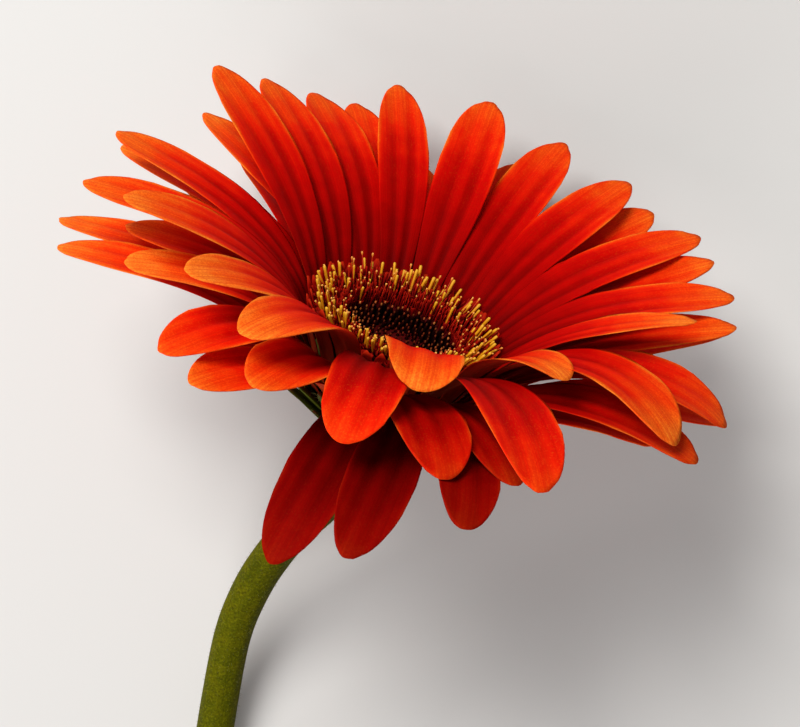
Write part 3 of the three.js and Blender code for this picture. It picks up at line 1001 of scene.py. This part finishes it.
def spot(radius, bearing, height, lean, size, girth=1.0, sideways=0.0):
    """A spot in the head for a piece of that size, in millimetres, leaning out by lean degrees."""
    angle = math.radians(lean)
    out = outwards(bearing)
    round_about = outwards(bearing + math.pi / 2)
    pointing = out * math.sin(angle) + Vector((0, 0, math.cos(angle))) + round_about * sideways
    turn = HEAD.to_3x3()
    scale = size * MM
    return (
        HEAD @ (in_head(radius, bearing, height) * MM),
        (turn @ pointing).normalized(),
        turn @ out,
        (scale * girth, scale * girth, scale),
    )


def joined_object(name, meshes):
    """Several meshes as one object with one mesh."""
    parts = [new_object(name + "_part", mesh) for mesh in meshes]
    with bpy.context.temp_override(
        active_object=parts[0], object=parts[0], selected_objects=parts, selected_editable_objects=parts
    ):
        bpy.ops.object.join()
    parts[0].name = name
    parts[0].data.name = name
    return parts[0]


def turned_mesh(name, profile, sides, material, ripple=0.0, seed=0):
    """A lathe shape round the head's axis from (radius, height) pairs in millimetres."""
    chance = random.Random(seed)
    rings, uvs = [], []
    for i, (radius, height) in enumerate(profile):
        ring = []
        for j in range(sides):
            wobble = 1 + ripple * chance.uniform(-1, 1)
            ring.append(HEAD @ (in_head(radius * wobble, 2 * math.pi * j / sides, height) * MM))
        rings.append(ring)
        uvs.append([(j / sides, i / (len(profile) - 1)) for j in range(sides)])
    return tube_mesh(name, rings, uvs, [material])


# the closed florets of the eye: a dark bed with buds in spiral rows, riper towards its rim, their golden tips
# darkened by painted shade on the head's lower side
EYE_RADIUS = EYE_REACH - 0.3
EYE_FLORETS = 230
BUD_HEIGHTS = (1.3, 2.9)  # in the middle of the eye and at its edge
BUD_LEANS = (-4, 4)
BUD_SIZES = (2.3, 2.9)
eye_bed = turned_mesh(
    "eye_bed",
    [(0.3, 0.0), (EYE_RADIUS, 0.0), (EYE_REACH, 3.4), (0.8 * EYE_RADIUS, 2.6), (0.45 * EYE_RADIUS, 1.6),
     (0.3, 1.3)],
    48, EYE_BED,
)
eye_spots = []
chance = random.Random(17)
for i in range(EYE_FLORETS):
    share = math.sqrt((i + 0.5) / EYE_FLORETS)
    bearing = i * GOLDEN_ANGLE
    radius = EYE_RADIUS * share * 1.02
    lean, size = lerp(*BUD_LEANS, share), lerp(*BUD_SIZES, share)
    place = spot(radius, bearing, lerp(*BUD_HEIGHTS, share**2), lean, size, 0.9)
    # painted shade: the golden bud tips are darkened on the head's lower side, short of the rim
    lower_side_shade = smoothstep(-0.2, 0.4, share * math.sin(bearing)) * (1 - smoothstep(0.86, 0.98, share))
    ripeness_and_shade = smoothstep(0.35, 0.9, share) * chance.uniform(0.45, 1.0) * (1 - 0.9 * lower_side_shade)
    eye_spots.append((*place, ripeness_and_shade))
eye_buds = set_out("eye_buds", eye_spots, bud_piece, BUD, 0.92, 1.08, 0.06, math.pi, 3)
eye = joined_object("closed_florets", [eye_bed, eye_buds])
finish_piece(eye, "eye", "closed_disc_florets")

# the open florets: a crimson wall of tubes and lips, with golden anthers and styles above them
crown_bed = turned_mesh(
    "crown_bed",
    [(EYE_REACH + 0.2, 0.2), (EYE_REACH + 1.9, 0.2), (CROWN_REACH - 1.0, 5.8), (CROWN_REACH - 2.2, 6.2),
     (EYE_REACH + 2.1, 5.6), (EYE_REACH + 0.5, 4.4), (EYE_REACH + 0.1, 3.2)],
    64, CROWN_BED,
)
tube_spots, lip_spots, anther_spots, style_spots = [], [], [], []
chance = random.Random(41)
# each row of florets: its place between the eye and the crown's edge, its height, how many, how far
# they lean out, and the share that stand open
ROWS = [
    (0.12, 4.0, 42, 6, 0.1),
    (0.31, 4.6, 46, 14, 0.55),
    (0.48, 5.1, 58, 20, 0.95),
    (0.65, 5.4, 66, 29, 1.0),
]
FILAMENTS = 900
for row, (across_crown, height, count, lean, open_share) in enumerate(ROWS):
    radius = lerp(EYE_REACH, CROWN_REACH, across_crown)
    for i in range(count):
        bearing = 2 * math.pi * (i + 0.5 * (row % 2) + chance.uniform(-0.2, 0.2)) / count
        r = radius + chance.uniform(-0.3, 0.3)
        slant = lean + chance.uniform(-5, 5)
        sideways = chance.uniform(-0.10, 0.10)
        tube_spots.append(spot(r, bearing, height - 1.2, slant, 2.9, 1.0, sideways))
        for side in (-1, 1):
            lip_bearing, lip_sideways = bearing + side * 0.02, sideways + side * 0.16
            lip_spots.append(spot(r + 0.1, lip_bearing, height + 1.0, slant + 6, 2.3, 1.0, lip_sideways))
        if chance.random() < open_share * 0.8:
            tall = chance.uniform(2.8, 4.3)
            lift = height + chance.uniform(0.7, 1.7)
            slant += chance.uniform(-6, 8)
            anther_spots.append(spot(r + 0.3, bearing, lift, slant, tall, 1.9 / tall, sideways))
            if chance.random() < 0.5:
                style_spots.append(
                    spot(r + 0.3, bearing + 0.02, lift + 0.3, slant + 2, tall + 0.3, 3.0 / tall, sideways)
                )
        else:
            style_spots.append(spot(r, bearing, height + 1.6, slant, 2.6, 1.2, sideways))
filament_spots = []
for i in range(FILAMENTS):
    bearing = 2 * math.pi * (i * GOLDEN_SHARE % 1.0)
    out = chance.random() ** 1.3
    radius = lerp(EYE_REACH, CROWN_REACH, 0.06 + 0.55 * out)
    tall = chance.uniform(3.6, 4.8)
    sideways = chance.uniform(-0.08, 0.08)
    filament_spots.append(spot(radius, bearing, 3.0 + 2.0 * out, 4 + 24 * out, tall, 0.9, sideways))
crown = joined_object(
    "open_florets",
    [
        crown_bed,
        set_out("filaments", filament_spots, filament_piece, FILAMENT, 0.85, 1.15, 0.08, math.pi, 10),
        set_out("tubes", tube_spots, tube_piece, TUBE, 0.9, 1.1, 0.06, math.pi, 5),
        set_out("lips", lip_spots, lip_piece, TUBE, 0.8, 1.15, 0.10, 0.5, 6),
        set_out("anthers", anther_spots, anther_piece, ANTHER, 0.85, 1.12, 0.07, math.pi, 7),
        set_out("styles", style_spots, style_piece, STYLE, 0.85, 1.1, 0.08, math.pi, 8),
    ],
)
finish_piece(crown, "anther", "open_disc_florets")

# the small strap florets between the disc and the petals
STRAPS = 46
strap_spots = []
for i in range(STRAPS):
    bearing = 2 * math.pi * (i + chance.uniform(-0.25, 0.25)) / STRAPS
    radius = CROWN_REACH - 3.2 + 0.5 * (i % 2)
    slant = 22 + chance.uniform(-4, 4)
    tall = chance.uniform(7.6, 9.0)
    strap_spots.append(spot(radius, bearing, 1.2, slant, tall, 0.9, chance.uniform(-0.05, 0.05)))
strap_mesh = set_out("straps", strap_spots, strap_piece, STRAP, 0.95, 1.05, 0.04, 0.2, 9)
straps = new_object("strap_florets_fine", strap_mesh)
finish_piece(straps, "strap", "strap_florets")

# ---- the green underside: receptacle and two rows of hairy bracts ----

HAIRS_PER_BRACT = 26
receptacle_skin = new_object(
    "receptacle_skin",
    turned_mesh(
        "receptacle_skin",
        [
            (0.5, -DEPTH), (4.2, -DEPTH), (0.5 * RIM, -0.86 * DEPTH), (0.74 * RIM, -0.66 * DEPTH),
            (0.92 * RIM, -0.42 * DEPTH), (0.985 * RIM, -0.22 * DEPTH), (RIM, -0.07 * DEPTH),
            (0.97 * RIM, 0.0), (0.5, 0.0),
        ],
        64, RECEPTACLE, ripple=0.006, seed=4,
    ),
)
finish_piece(receptacle_skin, "receptacle", "receptacle")


def bract_row(name, count, radius, height, lean, size, seed):
    """One row of bracts, each with hairs on its outer face."""
    row_chance = random.Random(seed)
    spots, hairs = [], []
    for i in range(count):
        bearing = 2 * math.pi * (i + row_chance.uniform(-0.15, 0.15)) / count
        tall = size * row_chance.uniform(0.9, 1.1)
        tilt = lean + row_chance.uniform(-4, 4)
        spots.append(spot(radius, bearing, height, tilt, tall, 1.0, row_chance.uniform(-0.05, 0.05)))
        place, pointing, out, _ = spots[-1]
        round_about = pointing.cross(out).normalized()
        for _ in range(HAIRS_PER_BRACT):
            along = row_chance.uniform(0.05, 0.98)
            half = 0.15 * tall * MM * (1 - along**3)
            across = row_chance.uniform(-1, 1)
            outer = (out - pointing * out.dot(pointing)).normalized()
            at = place + pointing * (along * tall * MM) + round_about * (across * half)
            at += outer * (0.12 * along**2 * tall * MM)
            hair_pointing = (outer * 0.6 + pointing * 0.5 + round_about * across * 0.8).normalized()
            hairs.append((at, hair_pointing, pointing, (MM, MM, row_chance.uniform(0.7, 1.3) * MM)))
    return joined_object(
        name,
        [
            set_out(name + "_scales", spots, bract_piece, BRACT, 0.95, 1.05, 0.04, 0.12, seed),
            set_out(name + "_hairs", hairs, hair_piece, HAIR, 0.8, 1.2, 0.3, math.pi, seed + 1),
        ],
    )


upper = bract_row("bracts_upper_row", 24, 0.80 * RIM, -0.62 * DEPTH, 42, 11.0, 21)
finish_piece(upper, "bract", "bracts_upper")
lower = bract_row("bracts_lower_row", 20, 0.56 * RIM, -0.86 * DEPTH, 52, 11.0, 31)
finish_piece(lower, "bract", "bracts_lower")

# ---- stem ----

STEM_RING = 12  # corners in a cross-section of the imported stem
STEM_SIDES = 40
STEM_ROWS = 260
STEM_SHARE = 0.985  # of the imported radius, so that the skin's ribs stay inside it
TOP_BURIED = 1.2 * MM
STEM_HAIRS = 6000

stem_mesh = joined("stem")
cut_ring = sorted(stem_mesh.verts, key=lambda vertex: vertex.co.y)[:STEM_RING]
stem_rings = rings_of(stem_mesh, cut_ring, STEM_RING)
stem_mesh.free()
stem_middles = [sum(ring, Vector()) / len(ring) for ring in stem_rings]
stem_radii = [
    sum((point - middle).length for point in ring) / len(ring) * STEM_SHARE
    for ring, middle in zip(stem_rings, stem_middles)
]
stem_stations = stations_of(stem_middles)


def stem_place(share):
    """Middle, direction, sideways, upward and radius of the stem at a share from its cut end."""
    centre = spline(stem_middles, stem_stations, share)
    ahead = spline(stem_middles, stem_stations, min(1.0, share + 0.004))
    behind = spline(stem_middles, stem_stations, max(0.0, share - 0.004))
    along = (ahead - behind).normalized()
    side = along.cross(UP).normalized()
    return centre, along, side, side.cross(along), spline(stem_radii, stem_stations, share)


def stem_skin(share, angle):
    """A point on the stem's skin, with soft ribs and a slight unevenness."""
    centre, along, side, up, radius = stem_place(share)
    ribs = 1 + 0.012 * math.cos(9 * angle + 2 * math.sin(7 * share))
    uneven = 1 + 0.010 * math.sin(60 * share + 2 * angle) + 0.008 * math.sin(143 * share - angle)
    out = side * math.cos(angle) + up * math.sin(angle)
    reach = radius * ribs * uneven
    return centre + out * reach, out, along


def round_uvs(along):
    """UVs round the stem, mirrored so that the last meets the first."""
    return [(2 * abs(j / STEM_SIDES - 0.5), along) for j in range(STEM_SIDES)]


rings, uvs = [], []
for i in range(STEM_ROWS + 1):
    share = i / STEM_ROWS
    rings.append([stem_skin(share, 2 * math.pi * j / STEM_SIDES)[0] for j in range(STEM_SIDES)])
    uvs.append(round_uvs(share))
# the top end sinks a little into the receptacle
top_push = (stem_middles[-1] - stem_middles[-2]).normalized() * TOP_BURIED
rings.append([point + top_push for point in rings[-1]])
uvs.append(uvs[-1])
skin = tube_mesh("stem_skin", rings, uvs, [STEM], closed_start=False)

# the cut end: a soft rim, a shallow dip and a small hollow in the middle
end_centre, end_along, _, _, _ = stem_place(0.0)
CUT_PROFILE = [(1.0, 0.0), (0.97, -0.25), (0.9, -0.32), (0.6, -0.2), (0.3, -0.12), (0.16, -0.05), (0.13, 0.6)]
cut_rings, cut_uvs = [], []
for share_in, dip in CUT_PROFILE:
    dipped = end_along * (dip * MM)
    cut_rings.append([end_centre + (point - end_centre) * share_in + dipped for point in rings[0]])
    cut_uvs.append(round_uvs(1 - share_in))
cut_rings.reverse()
cut_uvs.reverse()
cut = tube_mesh("stem_cut", cut_rings, cut_uvs, [PITH], closed_end=False)

# short hairs all over the stem, except where it lies on the surface
BARE_HEIGHT = 1.2 * MM
chance = random.Random(77)
hair_spots = []
for _ in range(STEM_HAIRS):
    share = chance.uniform(0.004, 0.995) ** 0.9
    angle = chance.uniform(0, 2 * math.pi)
    at, out, along = stem_skin(share, angle)
    if at.z < BARE_HEIGHT:
        continue
    tall = chance.uniform(0.25, 0.60) * MM
    pointing = (out + along * chance.uniform(-0.4, 0.6)).normalized()
    hair_spots.append((at - out * 0.05 * MM, pointing, along, (0.6 * MM, 0.6 * MM, tall)))
hairs = set_out("stem_hairs", hair_spots, hair_piece, HAIR, 0.8, 1.2, 0.35, math.pi, 12)
stem = joined_object("stem_fine", [skin, cut, hairs])
finish_piece(stem, "stem", "stem")

for made in PATTERNS:
    bpy.data.objects.remove(made)

# ---- floor ----

FLOOR = 3.0
floor_corners = [(-FLOOR, -FLOOR, 0), (FLOOR, -FLOOR, 0), (FLOOR, FLOOR, 0), (-FLOOR, FLOOR, 0)]
floor_mesh = bpy.data.meshes.new("floor")
floor_mesh.from_pydata(floor_corners, [], [(0, 1, 2, 3)])
floor = new_object("floor", floor_mesh)
floor_material, _, floor_shader = new_material("floor_paint", 0.8)
floor_shader.inputs["Base Color"].default_value = (0.60, 0.595, 0.585, 1.0)
floor_mesh.materials.append(floor_material)
